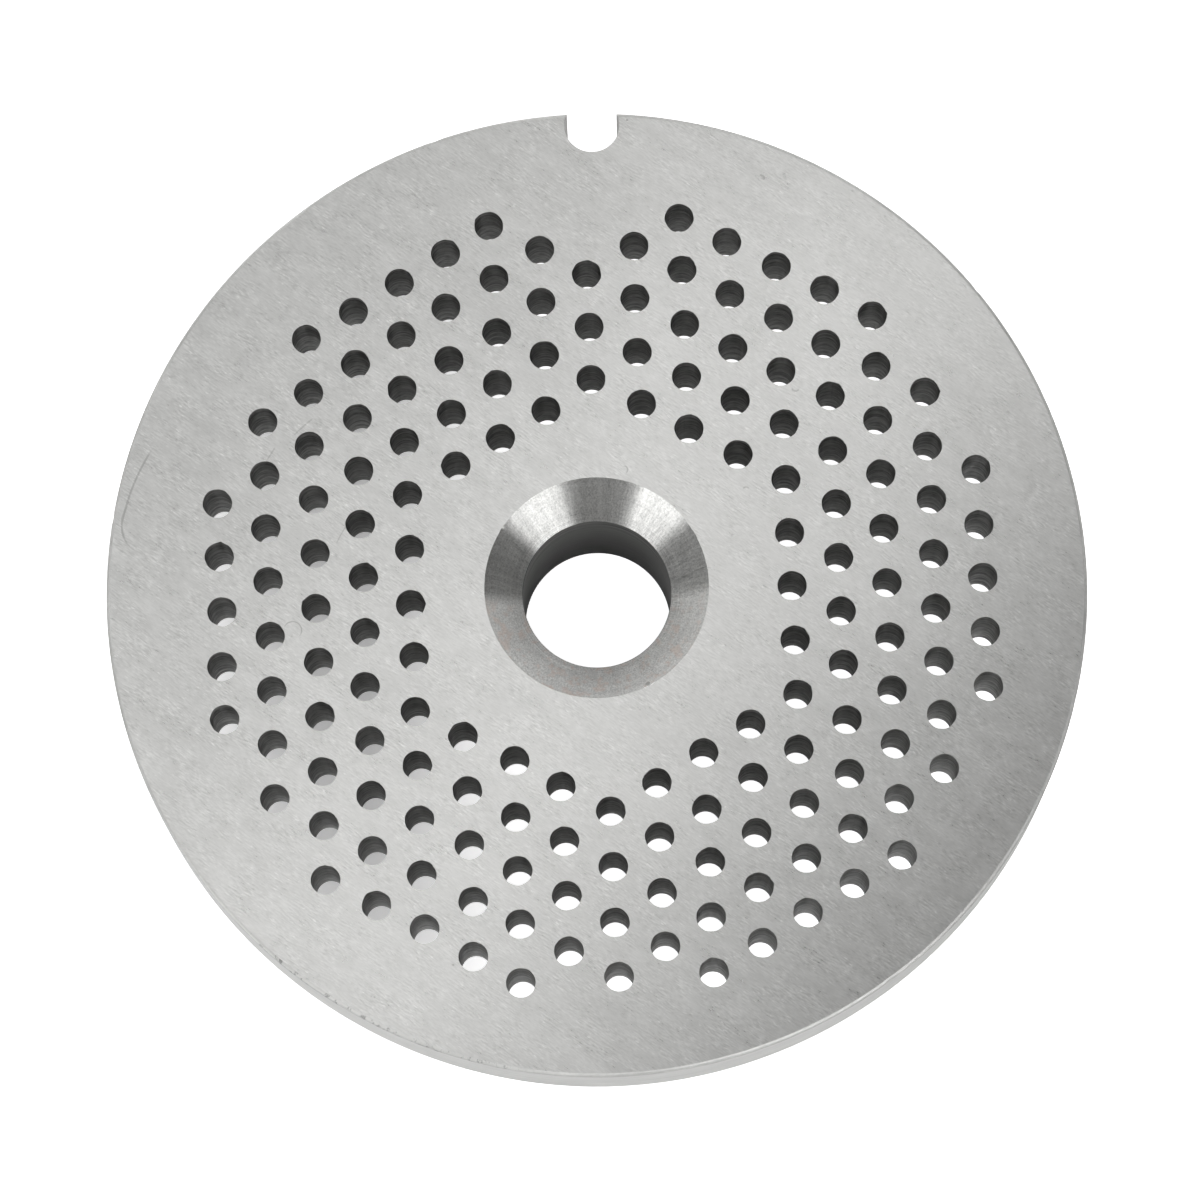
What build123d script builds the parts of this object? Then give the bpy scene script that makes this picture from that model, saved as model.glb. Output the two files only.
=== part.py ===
from build123d import *
import math
import os

# Meat grinder plate (perforated cutting plate), turned, drilled and ground
# from one piece of steel. Millimetres. The plate lies flat, with its ground
# working face up (+Z) and its hub down. The origin is on the bore's axis at
# the foot of the hub, and the notch stands on +Y.

# --- driving dimensions ---

plate_d = 100.0          # outer diameter, the size that fits the grinder's barrel
plate_t = 11.5           # thickness of the drilled disc
face_edge_break = 0.3    # break of the sharp edge between working face and rim
back_edge_chamfer = 2.0  # larger chamfer between rim and back face

hub_d = 28.0             # hub round the bore, on the back face
hub_h = 9.5              # how far the hub stands below the back face
hub_edge_break = 0.6     # break of both edges at the hub's foot

bore_d = 15.2            # plain bearing bore for the feed screw's spigot
countersink_d = 22.9     # mouth of the countersink in the working face
countersink_angle = 90.0  # included angle of that cone

hole_d = 3.0             # mincing holes
hole_pitch = 5.6         # distance between neighbouring holes
hub_land = 4.0           # least solid width between the hub and a hole's centre
rim_land = 9.0           # least solid width between the rim and a hole's centre
notch_land = 11.0        # no hole's centre stands closer than this to the notch's

# The field of holes is drilled in its own setting, so it stands a little off
# the bore's axis and a little turned against the notch.
field_off_x = 0.5
field_off_y = -0.75
field_turn = 1.9         # degrees, counter-clockwise seen on the working face

notch_d = 5.7            # round locating notch, open at the rim
notch_at = 48.7          # distance of the notch's centre from the axis

# --- sizes that follow from them ---

plate_r = plate_d / 2
hub_r = hub_d / 2
bore_r = bore_d / 2
countersink_r = countersink_d / 2
countersink_depth = (countersink_r - bore_r) / math.tan(math.radians(countersink_angle / 2))
back_z = hub_h
face_z = hub_h + plate_t
cut_clear = 1.0          # how far a cutter runs past the faces

# --- the drilled field: a triangular grid with one row running to the notch ---

grid_reach = math.ceil(plate_d / hole_pitch)
field_inner_r = hub_r + hub_land
field_outer_r = plate_r - rim_land
hole_centres = []
for step_along in range(-grid_reach, grid_reach + 1):
    for step_across in range(-grid_reach, grid_reach + 1):
        x = hole_pitch * step_across * math.sin(math.radians(60))
        y = hole_pitch * (step_along + step_across * math.cos(math.radians(60)))
        from_axis = math.hypot(x, y)
        from_notch = math.hypot(x, y - notch_at)
        if field_inner_r < from_axis < field_outer_r and from_notch > notch_land:
            hole_centres.append((x, y))

with BuildPart() as grinder_plate:
    # The turned blank: disc, hub, bore and countersink are one section,
    # turned about the bore's axis.
    with BuildSketch(Plane.XZ):
        with BuildLine():
            Polyline(
                (bore_r + hub_edge_break, 0),
                (hub_r - hub_edge_break, 0),
                (hub_r, hub_edge_break),
                (hub_r, back_z),
                (plate_r - back_edge_chamfer, back_z),
                (plate_r, back_z + back_edge_chamfer),
                (plate_r, face_z - face_edge_break),
                (plate_r - face_edge_break, face_z),
                (countersink_r, face_z),
                (bore_r, face_z - countersink_depth),
                (bore_r, hub_edge_break),
                close=True,
            )
        make_face()
    revolve(axis=Axis.Z)

    # The locating notch: a round cutter standing across the rim, so that the
    # rim closes in a little over the widest part of the notch.
    with BuildSketch(Plane.XY.offset(back_z - cut_clear)):
        with Locations((0, notch_at)):
            Circle(notch_d / 2)
    extrude(amount=plate_t + 2 * cut_clear, mode=Mode.SUBTRACT)

    # The mincing holes, drilled straight through the disc. Their edges are
    # left sharp, because they do the cutting.
    field_setting = Location((field_off_x, field_off_y, back_z - cut_clear), (0, 0, field_turn))
    with BuildSketch(Plane(field_setting)):
        with Locations(*hole_centres):
            Circle(hole_d / 2)
    extrude(amount=plate_t + 2 * cut_clear, mode=Mode.SUBTRACT)

grinder_plate.part.label = "grinder_plate"

os.makedirs("parts", exist_ok=True)
export_step(grinder_plate.part, "parts/grinder_plate.step")
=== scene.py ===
import math
import random

import bmesh
import bpy
from mathutils import Matrix, Vector
from mathutils.geometry import delaunay_2d_cdt


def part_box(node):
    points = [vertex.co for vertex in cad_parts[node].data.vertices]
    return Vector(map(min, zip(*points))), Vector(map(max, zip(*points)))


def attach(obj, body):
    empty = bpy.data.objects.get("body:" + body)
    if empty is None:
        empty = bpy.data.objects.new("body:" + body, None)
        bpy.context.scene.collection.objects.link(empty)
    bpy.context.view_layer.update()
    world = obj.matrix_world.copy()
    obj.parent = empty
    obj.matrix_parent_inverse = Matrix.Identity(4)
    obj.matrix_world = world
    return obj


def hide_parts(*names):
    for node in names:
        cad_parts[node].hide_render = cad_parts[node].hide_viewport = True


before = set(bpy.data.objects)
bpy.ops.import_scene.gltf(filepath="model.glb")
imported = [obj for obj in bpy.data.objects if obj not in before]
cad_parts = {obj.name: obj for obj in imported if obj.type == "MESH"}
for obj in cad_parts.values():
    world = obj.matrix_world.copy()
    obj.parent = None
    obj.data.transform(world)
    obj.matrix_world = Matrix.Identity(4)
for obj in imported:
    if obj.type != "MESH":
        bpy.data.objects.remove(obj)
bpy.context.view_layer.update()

# ---------------------------------------------------------------------------
# The rim of the blank: the disc's outside, turned to drop into the grinder's
# ring, with its upper edge rounded over and the key notch milled through it.
# Bare tool steel, with the lathe's lines running round it. In millimetres.
# ---------------------------------------------------------------------------

MM = 0.001
part_low, part_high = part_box("grinder_plate")
face_z = part_high.z / MM
rim_radius = min(part_high.x, -part_low.x, -part_low.y) / MM

plate_thickness = 11.5
back_z = face_z - plate_thickness
face_edge_round = 0.35
back_edge_chamfer = 2.0
notch_radius = 2.85
notch_at = 48.7

TURN_STEPS = 720
NOTCH_STEPS = 48
ROUND_STEPS = 4

# Knocks on the upper edge: degrees round the rim, width and depth.
RIM_KNOCKS = [
    (-110.2, 0.7, 0.12), (-54.2, 0.8, 0.14), (-121.0, 0.9, 0.07), (-71.0, 0.7, 0.06),
    (-14.0, 0.8, 0.06), (38.0, 0.7, 0.07), (109.0, 0.9, 0.06), (171.0, 0.8, 0.08),
]

bm = bmesh.new()
finishes = []


def outline_loop(radius, z):
    """The disc's outline at one height: round, with the notch cut into it."""
    corner_y = (radius**2 + notch_at**2 - notch_radius**2) / (2 * notch_at)
    corner_x = math.sqrt(radius**2 - corner_y**2)
    start = math.atan2(corner_y, -corner_x)
    sweep = 2 * math.pi - 2 * math.atan2(corner_x, corner_y)
    loop = []
    for step in range(TURN_STEPS):
        angle = start + sweep * step / TURN_STEPS
        loop.append(bm.verts.new((radius * math.cos(angle), radius * math.sin(angle), z)))
    notch_start = math.atan2(corner_y - notch_at, corner_x)
    notch_sweep = math.pi + 2 * notch_start
    for step in range(NOTCH_STEPS):
        angle = notch_start - notch_sweep * step / NOTCH_STEPS
        x = notch_radius * math.cos(angle)
        y = notch_at + notch_radius * math.sin(angle)
        loop.append(bm.verts.new((x, y, z)))
    return loop


def knock(loop, knocks, inward):
    """Pushes a loop's points in or out where the edge has been knocked."""
    for point in loop:
        radius = point.co.xy.length
        round_angle = math.atan2(point.co.y, point.co.x)
        for degrees, width, depth in knocks:
            off = (round_angle - math.radians(degrees) + math.pi) % (2 * math.pi) - math.pi
            push = depth * math.exp(-((off * radius / (width / 2)) ** 2))
            point.co.xy *= 1 - inward * push / radius


def wall(lower, upper, finish):
    """Quads between two loops of as many points."""
    for i in range(len(lower)):
        j = (i + 1) % len(lower)
        quad = bm.faces.new((lower[i], lower[j], upper[j], upper[i]))
        quad.material_index = finishes.index(finish)


class Wire:
    """An output in a node tree. Expressions on wires add their Math nodes."""

    def __init__(self, tree, socket=None):
        self.tree = tree
        self.socket = socket

    def node(self, kind, output=0, inputs=None, **settings):
        """Adds a node: settings first, then the values or links of its sockets."""
        made = self.tree.nodes.new(kind)
        for name, value in settings.items():
            setattr(made, name, value)
        for name, value in (inputs or {}).items():
            if isinstance(value, Wire):
                self.tree.links.new(value.socket, made.inputs[name])
            else:
                made.inputs[name].default_value = value
        return Wire(self.tree, made.outputs[output] if made.outputs else None)

    def math(self, operation, first, second=0.0):
        return self.node("ShaderNodeMath", inputs={0: first, 1: second}, operation=operation)

    def __add__(self, other):
        return self.math("ADD", self, other)

    __radd__ = __add__

    def __sub__(self, other):
        return self.math("SUBTRACT", self, other)

    def __rsub__(self, other):
        return self.math("SUBTRACT", other, self)

    def __mul__(self, other):
        return self.math("MULTIPLY", self, other)

    __rmul__ = __mul__

    def __truediv__(self, other):
        return self.math("DIVIDE", self, other)

    def ease(self, low, high, start=0.0, end=1.0):
        """Eases from start to end as the wire goes from low to high."""
        limits = {0: self, 1: low, 2: high, 3: start, 4: end}
        return self.node("ShaderNodeMapRange", 0, limits, interpolation_type="SMOOTHSTEP")

    def axis(self, letter):
        return self.node("ShaderNodeSeparateXYZ", letter, {0: self})

    def across(self):
        """Distance from the plate's axis."""
        x, y = self.axis("X"), self.axis("Y")
        return self.math("SQRT", x * x + y * y)

    def distance(self, x, y, z):
        """How far this place is from a point."""
        ends = {0: self, 1: (x, y, z)}
        return self.node("ShaderNodeVectorMath", "Value", ends, operation="DISTANCE")

    def reach(self, way):
        """How far this place lies along a direction."""
        return self.node("ShaderNodeVectorMath", "Value", {0: self, 1: way}, operation="DOT_PRODUCT")

    def stretched(self, x, y, z):
        """This place with each axis multiplied, so that a larger factor gives finer cells."""
        return self.node("ShaderNodeVectorMath", 0, {0: self, 1: (x, y, z)}, operation="MULTIPLY")

    def grain(self, detail=3.0, roughness=0.55):
        """Noise about 0, whose cells are 1 across at this place."""
        values = {"Vector": self, "Scale": 1.0, "Detail": detail, "Roughness": roughness}
        return self.node("ShaderNodeTexNoise", 0, values) - 0.5

    def ring_place(self, along, nominal, length, width):
        """A place on a turned surface, with cells length round it and width along it."""
        out = self.across()
        round_x = self.axis("X") / out * (nominal / length)
        round_y = self.axis("Y") / out * (nominal / length)
        cells = {0: round_x, 1: round_y, 2: along * (1 / width)}
        return self.node("ShaderNodeCombineXYZ", 0, cells)


def start_finish(name):
    """A new material for one finish of the plate, and places on it in millimetres."""
    material = bpy.data.materials.new(name)
    material.use_nodes = True
    material.node_tree.nodes.clear()
    finishes.append(material)
    metres = Wire(material.node_tree).node("ShaderNodeTexCoord", "Object")
    return material, metres.stretched(1 / MM, 1 / MM, 1 / MM)


def tint(shade, dark, light):
    """A grey between dark and light, with the faint warmth of bare tool steel."""
    colours = {0: shade, 6: (dark, dark, dark * 0.975, 1), 7: (light, light, light * 0.98, 1)}
    return shade.node("ShaderNodeMix", 2, colours, data_type="RGBA")


def steel(colour, roughness, height, **own):
    """The steel's shader. The height is in millimetres, and own names its other values."""
    bump = {"Height": height, "Distance": MM}
    values = {
        "Base Color": colour,
        "Metallic": 1.0,
        "Roughness": roughness,
        "Normal": colour.node("ShaderNodeBump", 0, bump),
    }
    for name, value in own.items():
        values[name.replace("_", " ").title()] = value
    shader = colour.node("ShaderNodeBsdfPrincipled", 0, values)
    colour.node("ShaderNodeOutputMaterial", 0, {"Surface": shader})


# How far below the face the edge's band reaches, with its wear and its painted shade.
edge_wear_and_shade = 0.75
# Where the painted shade on the rim's right side starts and is full, in mm along X.
painted_shade_starts = 14.0
painted_shade_full = 46.0
# The stretch of the edge that is scuffed: its middle, and the half angles
# inside which the scuffs start and are at their full.
SCUFFED_SIDE = math.radians(-118)
SCUFFS_START = math.radians(22.3)
SCUFFS_FULL = math.radians(14.1)

rim_steel, place = start_finish("turned_rim_steel")
height_up = place.axis("Z")
lathe_lines = place.ring_place(height_up, rim_radius, length=12.0, width=0.16).grain(2.0)
smears = place.ring_place(height_up, rim_radius, length=3.0, width=1.2).grain(4.0)
edge_grain = place.ring_place(height_up, rim_radius, length=0.5, width=0.4).grain(4.0, 0.7)
on_edge = height_up.ease(face_z - edge_wear_and_shade, face_z - face_edge_round)
scuffed_reach = place.reach((math.cos(SCUFFED_SIDE), math.sin(SCUFFED_SIDE), 0))
scuffed_part = scuffed_reach.ease(
    rim_radius * math.cos(SCUFFS_START), rim_radius * math.cos(SCUFFS_FULL)
)
scuff = edge_grain.ease(0.02, 0.12) * on_edge * scuffed_part
# Painted shade: the rim is painted darker towards its right side, where less light falls on it.
painted_shade_right = place.axis("X").ease(painted_shade_starts, painted_shade_full)
shade = 0.8 + 0.6 * lathe_lines + 0.3 * smears - 0.15 * painted_shade_right
# The edge's band: grain, a painted shade that dulls the rounding's highlight, and scuffs of wear.
shade = shade + (0.3 * edge_grain - 0.08) * on_edge - 0.5 * scuff
rim_roughness = 0.4 + 0.25 * smears + 0.2 * on_edge
rim_height = 0.004 * lathe_lines
steel(tint(shade, dark=0.14, light=0.84), rim_roughness, rim_height)

rim_profile = [
    (rim_radius - back_edge_chamfer, back_z),
    (rim_radius, back_z + back_edge_chamfer),
    (rim_radius, face_z - 2 * face_edge_round),
]
for step in range(ROUND_STEPS + 1):
    angle = math.pi / 2 * step / ROUND_STEPS
    inset = face_edge_round * (1 - math.cos(angle))
    drop = face_edge_round * (1 - math.sin(angle))
    rim_profile.append((rim_radius - inset, face_z - drop))
rim_loops = [outline_loop(radius, z) for radius, z in rim_profile]
for loop in rim_loops[3:]:
    knock(loop, RIM_KNOCKS, 1)
for lower, upper in zip(rim_loops, rim_loops[1:]):
    wall(lower, upper, rim_steel)

# ---------------------------------------------------------------------------
# The hub and the back, turned in the same setting. The hub stands the disc
# off whatever is behind it. Bare steel with coarser lathe lines than the rim.
# ---------------------------------------------------------------------------

hub_radius = 14.0
hub_edge_break = 0.6
bore_radius = 7.6
back_middle = 25.0
# A shine drawn out across the lathe's lines, as a share of a turn.
ACROSS_THE_LINES = 0.25

back_steel, place = start_finish("turned_back_steel")
tool_way = place.across() - place.axis("Z")
lathe_lines = place.ring_place(tool_way, back_middle, length=14.0, width=0.16).grain(2.0)
bands = place.ring_place(tool_way, back_middle, length=30.0, width=1.6).grain(2.0)
blotches = place.stretched(0.12, 0.12, 0.12).grain(4.0)
shade = 0.5 + 0.8 * lathe_lines + 0.5 * bands + 0.8 * blotches
back_roughness = 0.36 + 0.2 * blotches
back_height = 0.012 * lathe_lines
steel(
    tint(shade, dark=0.36, light=0.62), back_roughness, back_height,
    anisotropic=0.6, anisotropic_rotation=ACROSS_THE_LINES,
)


def round_loop(radius, z, steps, x=0.0, y=0.0):
    """A closed loop of points on a circle, seen from above counter-clockwise."""
    loop = []
    for step in range(steps):
        angle = 2 * math.pi * step / steps
        loop.append(bm.verts.new((x + radius * math.cos(angle), y + radius * math.sin(angle), z)))
    return loop


hub_profile = [
    (hub_radius, back_z),
    (hub_radius, hub_edge_break),
    (hub_radius - hub_edge_break, 0.0),
    (bore_radius + hub_edge_break, 0.0),
    (bore_radius, hub_edge_break),
]
hub_loops = [round_loop(radius, z, TURN_STEPS) for radius, z in hub_profile]
for lower, upper in zip(hub_loops, hub_loops[1:]):
    wall(lower, upper, back_steel)

# ---------------------------------------------------------------------------
# The bore that runs on the grinder's pin. Its wall was bored in one pass: the
# tool's rings show in the upper third, and painted shade darkens it downwards.
# ---------------------------------------------------------------------------

countersink_radius = 11.45
CONE_SLOPE = math.radians(45)
corner_round = 0.14
bore_top_z = face_z - (countersink_radius - bore_radius)
# How far below the bore's top its rings start to fade, and where they are faint.
rings_clear_to = 1.0
rings_faint_at = 6.0

bore_steel, place = start_finish("bored_steel")
height_up = place.axis("Z")
tool_rings = place.ring_place(height_up, bore_radius, length=9.0, width=0.3).grain(2.0)
fine_rings = place.ring_place(height_up, bore_radius, length=5.0, width=0.1).grain(2.0)
oil = place.ring_place(height_up, bore_radius, length=2.5, width=2.5).grain(4.0)
# Painted shade: the wall is painted darker towards the bottom of the bore, where less light reaches.
painted_light_up_bore = height_up.ease(0.0, bore_top_z)
ringed = height_up.ease(bore_top_z - rings_faint_at, bore_top_z - rings_clear_to, 0.15, 1.15)
shade = 0.02 + 0.66 * painted_light_up_bore + (1.5 * tool_rings + fine_rings) * ringed + 0.2 * oil
bore_roughness = 0.38 + 0.2 * oil
bore_height = 0.02 * tool_rings + 0.006 * fine_rings
steel(
    tint(shade, dark=0.03, light=0.45), bore_roughness, bore_height,
    anisotropic=0.5, anisotropic_rotation=ACROSS_THE_LINES,
)

bore_top = []
for step in range(ROUND_STEPS + 1):
    angle = CONE_SLOPE * step / ROUND_STEPS
    out_by = corner_round * (1 - math.cos(angle))
    up_by = corner_round * (math.sin(angle) - math.tan(CONE_SLOPE / 2))
    bore_top.append(round_loop(bore_radius + out_by, bore_top_z + up_by, TURN_STEPS))
bore_loops = [hub_loops[-1]] + bore_top
for lower, upper in zip(bore_loops, bore_loops[1:]):
    wall(lower, upper, bore_steel)

# ---------------------------------------------------------------------------
# The countersink at the bore's mouth, 90 degrees, which clears the knife's
# hub. The form tool chattered a little and left short marks across its rings.
# ---------------------------------------------------------------------------

cone_middle = 9.5
mouth_strip = 0.15
CHIP_AT = (5.1, -9.95, face_z - 0.27)
BROWN_STAIN = (0.70, 0.56, 0.49, 1)
# Knocks on the mouth: degrees round it, width and depth.
COUNTERSINK_KNOCKS = [(-62.8, 0.35, 0.10), (147.0, 0.3, 0.06), (28.0, 0.3, 0.05)]

countersink_steel, place = start_finish("countersunk_steel")
out = place.across()
rings = place.ring_place(out, cone_middle, length=9.0, width=0.06).grain(2.0)
broad_rings = place.ring_place(out, cone_middle, length=20.0, width=0.35).grain(1.0)
chatter = place.ring_place(out, cone_middle, length=0.2, width=0.8).grain(3.0, 0.65)
speckle = place.ring_place(out, cone_middle, length=0.16, width=0.16).grain(3.0, 0.7)
sweeps = place.ring_place(out, cone_middle, length=0.7, width=5.0).grain(3.0, 0.6)
low_rings = rings * out.ease(bore_radius + 0.5, bore_radius + 1.6, 1.0, 0.0)
chattered = chatter * place.axis("X").ease(1.0, 6.0, 0.4, 1.0)
stained_side = place.axis("Y").ease(1.0, -4.0)
stains = place.ring_place(out, cone_middle, length=1.1, width=0.9).grain(4.0, 0.6)
stain = stains.ease(0.0, 0.16) * stained_side
chip = place.distance(*CHIP_AT).ease(0.16, 0.3, 1.0, 0.0)
marks = 1.7 * speckle + (1.2 * chattered + 0.9 * sweeps) * (1.0 - 0.6 * stained_side)
shade = 0.5 + 0.3 * rings + 0.9 * low_rings + 0.3 * broad_rings + marks - 1.5 * chip
clean = tint(shade, dark=0.42, light=0.96)
stained = {0: 0.45 * stain, 6: clean, 7: BROWN_STAIN}
colour = clean.node("ShaderNodeMix", 2, stained, data_type="RGBA")
cone_roughness = 0.32 + 0.08 * sweeps + 0.1 * speckle
cone_height = 0.002 * rings + 0.004 * low_rings + 0.003 * chattered + 0.002 * speckle
steel(
    colour, cone_roughness, cone_height,
    anisotropic=1.0, anisotropic_rotation=ACROSS_THE_LINES,
)

cone_loops = [bore_top[-1]]
for inset in (2 * mouth_strip, mouth_strip, 0.0):
    cone_loops.append(round_loop(countersink_radius - inset, face_z - inset, TURN_STEPS))
countersink_mouth = cone_loops[-1]
knock(countersink_mouth, COUNTERSINK_KNOCKS, -1)
for lower, upper in zip(cone_loops, cone_loops[1:]):
    wall(lower, upper, countersink_steel)

# ---------------------------------------------------------------------------
# The field of holes that the meat is cut through: 3 mm drills on a triangular
# grid with one row running to the notch. The drill leaves rings down each
# wall, and grinding the face rolls a thin burr over one side of the mouths.
# ---------------------------------------------------------------------------

hole_radius = 1.5
hole_pitch = 5.6
hub_land = 4.0
rim_land = 9.0
notch_land = 11.0
field_off = Vector((0.5, -0.75))
field_turn = math.radians(1.9)
drill_wander = 0.07

burr_depth = 0.16
burr_reach = 0.13
# How much of a burr is left at the face itself, where the wheel ground it off.
BURR_AT_FACE = 0.35
BURR_SIDE = math.radians(62)
BURR_SPREAD = 0.5
BURR_RAGS = 19
mouth_unevenness = 0.012
MOUTH_WAVES = 7
nick_spread = 0.05
NICK_HALF_ANGLE = 0.12

HOLE_STEPS = 60

drilled_steel, place = start_finish("drilled_steel")
drill_rings = place.stretched(0.35, 0.35, 1.9).grain(3.0, 0.6)
torn = place.stretched(1.6, 1.6, 2.6).grain(3.0, 0.6)
each_hole = place.stretched(0.17, 0.17, 0.0).grain(1.0)
# Painted light: the walls are painted lighter near the mouth, where light from above falls, and
# darker further down.
painted_light_near_mouth = place.axis("Z").ease(face_z - 1.1, face_z - 0.05)
shade = 0.42 + 2.8 * drill_rings + 1.4 * torn + 0.8 * each_hole + 0.3 * painted_light_near_mouth
drilled_roughness = 0.45 + 0.2 * torn
drilled_height = 0.05 * drill_rings + 0.03 * torn
steel(tint(shade, dark=0.15, light=0.58), drilled_roughness, drilled_height)


def hole_centres():
    """A triangular grid with one row running to the notch, clear of hub, rim and notch."""
    reach = math.ceil(2 * rim_radius / hole_pitch)
    turn = Matrix.Rotation(field_turn, 2)
    centres = []
    for along in range(-reach, reach + 1):
        for across in range(-reach, reach + 1):
            spot = Vector((across * math.sqrt(0.75), along + across / 2)) * hole_pitch
            clear_of_hub = spot.length > hub_radius + hub_land
            clear_of_rim = spot.length < rim_radius - rim_land
            clear_of_notch = (spot - Vector((0, notch_at))).length > notch_land
            if clear_of_hub and clear_of_rim and clear_of_notch:
                centres.append(turn @ spot + field_off)
    return centres


def drilled_hole(centre, dice):
    """One hole's loops, from its mouth on the face down to the back."""
    x = centre.x + dice.gauss(0, drill_wander)
    y = centre.y + dice.gauss(0, drill_wander)
    mouth = round_loop(hole_radius, face_z, HOLE_STEPS, x, y)
    lip = round_loop(hole_radius, face_z - burr_depth, HOLE_STEPS, x, y)
    below = round_loop(hole_radius, face_z - 2 * burr_depth, HOLE_STEPS, x, y)
    end = round_loop(hole_radius, back_z, HOLE_STEPS, x, y)
    # Each burr: where it stands round the mouth, its half angle and its size.
    burrs = [
        (dice.gauss(BURR_SIDE, BURR_SPREAD), dice.uniform(0.12, 0.4), dice.uniform(0.1, 1.0))
        for _ in range(dice.choice((1, 2, 2, 3)))
    ]
    waves = [
        (dice.uniform(0, 2 * math.pi), dice.gauss(0, mouth_unevenness))
        for _ in range(MOUTH_WAVES)
    ]
    nick_at = dice.uniform(0, 2 * math.pi)
    nick_depth = max(0.0, dice.gauss(0.0, nick_spread))
    for step in range(HOLE_STEPS):
        angle = 2 * math.pi * step / HOLE_STEPS
        burr = 0.0
        for at, width, size in burrs:
            off = (angle - at + math.pi) % (2 * math.pi) - math.pi
            ragged = 0.7 + 0.3 * math.sin(BURR_RAGS * angle + 5 * at)
            burr = max(burr, burr_reach * size * ragged * math.exp(-((off / width) ** 4)))
        uneven = sum(
            size * math.cos(lobes * angle + at) / 2 for lobes, (at, size) in enumerate(waves, start=2)
        )
        off = (angle - nick_at + math.pi) % (2 * math.pi) - math.pi
        nick = nick_depth * math.exp(-((off / NICK_HALF_ANGLE) ** 2))
        way = Vector((math.cos(angle), math.sin(angle), 0))
        mouth[step].co += way * (uneven + nick - burr * BURR_AT_FACE)
        lip[step].co += way * (uneven + nick / 2 - burr)
    wall(end, below, drilled_steel)
    wall(below, lip, drilled_steel)
    return mouth, lip, end


SEED = 11
dice = random.Random(SEED)
holes = [drilled_hole(centre, dice) for centre in hole_centres()]

# ---------------------------------------------------------------------------
# The working face, surface ground last of all. The wheel leaves short fine
# scratches that all run one way over a soft mottle; use has added a few hair
# scratches, specks and knocks.
# ---------------------------------------------------------------------------

LAY = math.radians(-35)
# Scratches, each a piece of an arc: its centre and radius, then the middle of
# the piece, half its length, its width and how dark it is.
SCRATCHES = [
    ((-27.1, 3.26), 21.69, (-47.3, 11.2), 4.6, 0.16, 0.5),
    ((-44.76, 7.06), 3.7, (-48.45, 6.9), 2.4, 0.16, 0.5),
    ((-17.8, 3.59), 18.16, (-29.9, 17.1), 1.5, 0.12, 0.4),
    ((-45.23, 21.77), 14.17, (-33.2, 14.3), 0.9, 0.12, 0.4),
    ((-31.0, -4.11), 0.92, (-30.7, -3.6), 1.3, 0.09, 0.8),
    ((-13.87, -0.95), 13.92, (-26.0, 5.8), 1.2, 0.1, 0.4),
    ((2.9, 12.2), 0.4, (3.2, 12.3), 0.5, 0.1, 0.6),
    ((17.37, 42.79), 0.37, (17.65, 43.0), 0.4, 0.12, 1.2),
    ((20.61, 20.66), 0.41, (20.55, 20.25), 0.5, 0.12, 0.7),
    ((15.37, 9.93), 0.33, (15.37, 10.26), 0.4, 0.1, 0.5),
    ((3.66, 49.2), 0.0, (3.66, 49.2), 0.3, 0.16, 1.4),
]

face_steel, place = start_finish("ground_steel")


def lay_place(length, width, level=0.0):
    """A place on the face, with cells length along the wheel's lay and width across it."""
    along_way = (math.cos(LAY) / length, math.sin(LAY) / length, 0)
    across_way = (-math.sin(LAY) / width, math.cos(LAY) / width, 0)
    cells = {0: place.reach(along_way), 1: place.reach(across_way), 2: level}
    return place.node("ShaderNodeCombineXYZ", 0, cells)


streaks = lay_place(length=0.8, width=0.17).grain(3.0, 0.6)
flecks = lay_place(length=0.75, width=0.22, level=5.0).grain(2.0).ease(0.1, 0.24)
nicks = lay_place(length=0.9, width=0.26, level=9.0).grain(2.0).ease(0.1, 0.24)
mottle = lay_place(length=3.2, width=1.6, level=3.0).grain(4.0, 0.6)
clouds = lay_place(length=16.0, width=11.0, level=7.0).grain(2.0)
patches = lay_place(length=3.4, width=2.0, level=11.0).grain(2.0).ease(-0.2, 0.2, 0.4, 1.5)
pit_cells = {"Vector": place, "Scale": 0.16, "Randomness": 1.0}
pit_distance = place.node("ShaderNodeTexVoronoi", "Distance", pit_cells, feature="F1")
worn = pit_distance.ease(0.008, 0.02, 0.9, 0.0)
for (x, y), radius, (mid_x, mid_y), half, width, dark in SCRATCHES:
    off_line = place.math("ABSOLUTE", place.distance(x, y, face_z) - radius)
    ends = place.distance(mid_x, mid_y, face_z).ease(half * 0.6, half, 1.0, 0.0)
    worn = worn + off_line.ease(width * 0.2, width, dark, 0.0) * ends
shade = 0.48 + (1.25 * streaks + 0.38 * flecks) * patches - 0.2 * nicks
shade = shade + 0.7 * mottle + 0.3 * clouds - worn
face_roughness = 0.29 + 0.06 * mottle + 0.06 * streaks
face_height = 0.0012 * streaks + 0.0015 * flecks - 0.006 * worn
steel(tint(shade, dark=0.42, light=0.75), face_roughness, face_height)


WHOLE_HULL = 0
SAME_POINT_WITHIN = 1e-6


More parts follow.
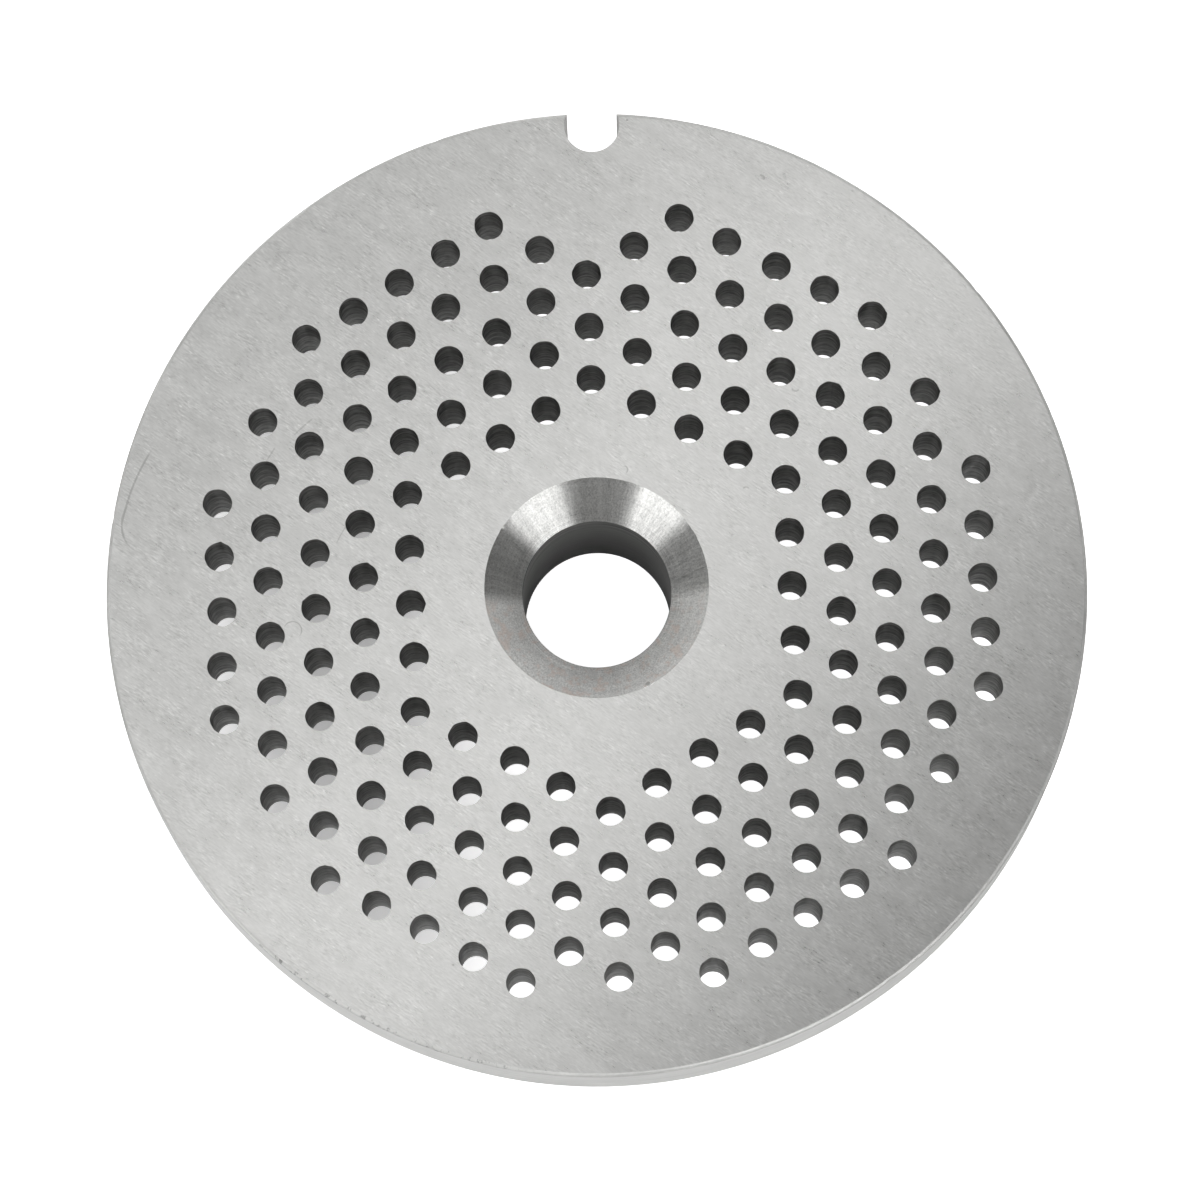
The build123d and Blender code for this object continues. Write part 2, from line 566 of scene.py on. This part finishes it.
def flat_face(outline, rings, finish):
    """A flat face inside an outline, open at the rings."""
    corners = list(outline)
    owner = [0] * len(outline)
    edges = [(i, (i + 1) % len(outline)) for i in range(len(outline))]
    for number, ring in enumerate(rings, start=1):
        first = len(corners)
        corners += ring
        owner += [number] * len(ring)
        edges += [(first + i, first + (i + 1) % len(ring)) for i in range(len(ring))]
    spots = [corner.co.xy for corner in corners]
    cut = delaunay_2d_cdt(spots, edges, [], WHOLE_HULL, SAME_POINT_WITHIN)
    made_of = cut[3]
    for triangle in cut[2]:
        picked = [made_of[i][0] for i in triangle]
        owners = {owner[i] for i in picked}
        middle = sum((spots[i] for i in picked), Vector((0, 0))) / 3
        in_ring = len(owners) == 1 and 0 not in owners
        in_notch = (middle - Vector((0, notch_at))).length < notch_radius
        if not in_ring and not in_notch:
            made = bm.faces.new([corners[i] for i in picked])
            made.material_index = finishes.index(finish)


mouths = [mouth for mouth, lip, end in holes]
for mouth, lip, end in holes:
    wall(lip, mouth, face_steel)
flat_face(rim_loops[-1], [countersink_mouth] + mouths, face_steel)
flat_face(rim_loops[0], [hub_loops[0]] + [end for mouth, lip, end in holes], back_steel)

bmesh.ops.recalc_face_normals(bm, faces=bm.faces)
bmesh.ops.scale(bm, vec=Vector((MM, MM, MM)), verts=bm.verts)
plate_mesh = bpy.data.meshes.new("grinder_plate_steel")
bm.to_mesh(plate_mesh)
bm.free()
for finish in finishes:
    plate_mesh.materials.append(finish)
# The flat faces stay flat right up to their edges, and the round walls are smooth.
SHARP_FROM = math.radians(30)
FLAT_FROM = 0.9999
plate_mesh.set_sharp_from_angle(angle=SHARP_FROM)
for facet in plate_mesh.polygons:
    facet.use_smooth = abs(facet.normal.z) < FLAT_FROM

plate = bpy.data.objects.new("grinder_plate_steel", plate_mesh)
bpy.context.scene.collection.objects.link(plate)
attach(plate, "root")
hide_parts("grinder_plate")

# ---------------------------------------------------------------------------
# The floor: white, glowing to the camera alone so that the plate's shadow on it
# doesn't show, with a painted shadow under the plate's left half.
# ---------------------------------------------------------------------------

floor_half = 3.0
floor_mesh = bpy.data.meshes.new("floor")
floor_mesh.from_pydata(
    [(-floor_half, -floor_half, 0), (floor_half, -floor_half, 0),
     (floor_half, floor_half, 0), (-floor_half, floor_half, 0)], [], [(0, 1, 2, 3)],
)
floor = bpy.data.objects.new("floor", floor_mesh)
bpy.context.scene.collection.objects.link(floor)

floor_material = bpy.data.materials.new("glowing_floor")
floor_material.use_nodes = True
floor_material.node_tree.nodes.clear()
table = Wire(floor_material.node_tree)
table_place = table.node("ShaderNodeTexCoord", "Object")
seen = table.node("ShaderNodeLightPath", "Is Camera Ray")
mirrored = table.node("ShaderNodeLightPath", "Is Glossy Ray")
left_to_right = table_place.axis("X")
# Painted shadow: the floor's glow is dimmed under the plate's left half, less so at the far left.
painted_shadow_left = left_to_right.ease(-26 * MM, -4 * MM, 0.74, 0.0)
painted_shadow_outer_lift = left_to_right.ease(-50 * MM, -30 * MM, 0.5, 0.0)
painted_shadow_under_plate = table_place.across().ease(44 * MM, 47 * MM, 1.0, 0.0)
glow = (1.0 - (painted_shadow_left - painted_shadow_outer_lift) * painted_shadow_under_plate) * seen + 0.05 * mirrored
table_shader = table.node(
    "ShaderNodeBsdfPrincipled", 0,
    {"Base Color": (0.88, 0.88, 0.88, 1), "Roughness": 0.9,
     "Emission Color": glow, "Emission Strength": 1.0},
)
table.node("ShaderNodeOutputMaterial", 0, {"Surface": table_shader})
floor_mesh.materials.append(floor_material)

# ---------------------------------------------------------------------------
# The light: a plain studio. A white wall behind, a tall softbox at the left
# front corner, a high one at the right, dark sides, and a wide softbox and a
# strip light overhead.
# ---------------------------------------------------------------------------

world = bpy.data.worlds.new("studio")
bpy.context.scene.world = world
world.use_nodes = True
world.node_tree.nodes.clear()
room = Wire(world.node_tree)
look_way = room.node("ShaderNodeTexCoord", "Generated")
compass = room.math("ARCTAN2", look_way.axis("Y"), look_way.axis("X"))
look_up = look_way.axis("Z")


def by_height(low, high, start, end):
    """Eases from start to end between two heights over the horizon, in degrees."""
    return look_up.ease(math.sin(math.radians(low)), math.sin(math.radians(high)), start, end)


def by_compass(low, high, start, end):
    """Eases from start to end between two compass directions, in degrees from +X."""
    return compass.ease(math.radians(low), math.radians(high), start, end)


def panel(centre, half_width, edge):
    """1 within a half width of a compass direction, and 0 outside it, in degrees."""
    gap = room.math("ABSOLUTE", compass - math.radians(centre))
    return gap.ease(math.radians(half_width - edge), math.radians(half_width + edge), 1.0, 0.0)


back_sides = 0.75 + 0.25 * panel(centre=92, half_width=50, edge=20)
back_wall = panel(centre=92, half_width=76, edge=2) * back_sides * by_height(22, 42, 1.22, 0.15)
right_box = panel(centre=-47, half_width=20, edge=1.5) * by_height(24, 34, 0.25, 4.9)
left_box = panel(centre=-136, half_width=17, edge=2) * by_compass(-148, -122, 1.95, 2.3)
front_wall = panel(centre=-94, half_width=25, edge=2) * by_compass(-118, -94, 0.38, 0.22)
left_wall = 0.14 * panel(centre=-164, half_width=13, edge=6)
right_wall = 0.1 * panel(centre=-19, half_width=11, edge=6)
dim_room = 0.08
dark_ceiling = 0.02
walls = dim_room + back_wall + right_box + left_box + front_wall + left_wall + right_wall
overhead_part = by_height(58, 66, 0.0, 1.0)
light = walls * (1 - overhead_part) + dark_ceiling * overhead_part
seen = room.node("ShaderNodeLightPath", "Is Camera Ray")
strength = light * (1 - seen) + seen
background = room.node("ShaderNodeBackground", 0, {"Color": (1, 1, 1, 1), "Strength": strength})
room.node("ShaderNodeOutputWorld", 0, {"Surface": background})


def overhead(name, radiance, length, width, place, turn):
    """A rectangular softbox that looks straight down, of an even radiance."""
    lamp = bpy.data.lights.new(name, "AREA")
    lamp.shape = "RECTANGLE"
    lamp.size = length
    lamp.size_y = width
    lamp.energy = radiance * math.pi * length * width
    hung = bpy.data.objects.new(name, lamp)
    hung.location = place
    hung.rotation_euler = (0, 0, math.radians(turn))
    hung.visible_camera = False
    bpy.context.scene.collection.objects.link(hung)


overhead("wide_softbox", 0.70, 0.65, 0.43, place=(-0.248, 0.108, 0.621), turn=53)
overhead("strip_light", 3.5, 0.66, 0.037, place=(-0.012, 0.070, 0.606), turn=54)

# ---------------------------------------------------------------------------
# The camera: above the plate and a little towards the side away from the notch,
# with a long lens.
# ---------------------------------------------------------------------------

camera_data = bpy.data.cameras.new("camera")
camera_data.sensor_width = 36.0
camera_data.lens = 175.57
camera_data.clip_start = 0.01
camera_data.clip_end = 20.0
camera = bpy.data.objects.new("camera", camera_data)
camera.location = (0.003089, -0.112943, 0.606508)
camera.rotation_euler = (math.radians(10.790), math.radians(0.386), math.radians(-0.608))
bpy.context.scene.collection.objects.link(camera)
bpy.context.scene.camera = camera
bpy.context.scene.view_settings.view_transform = "Standard"
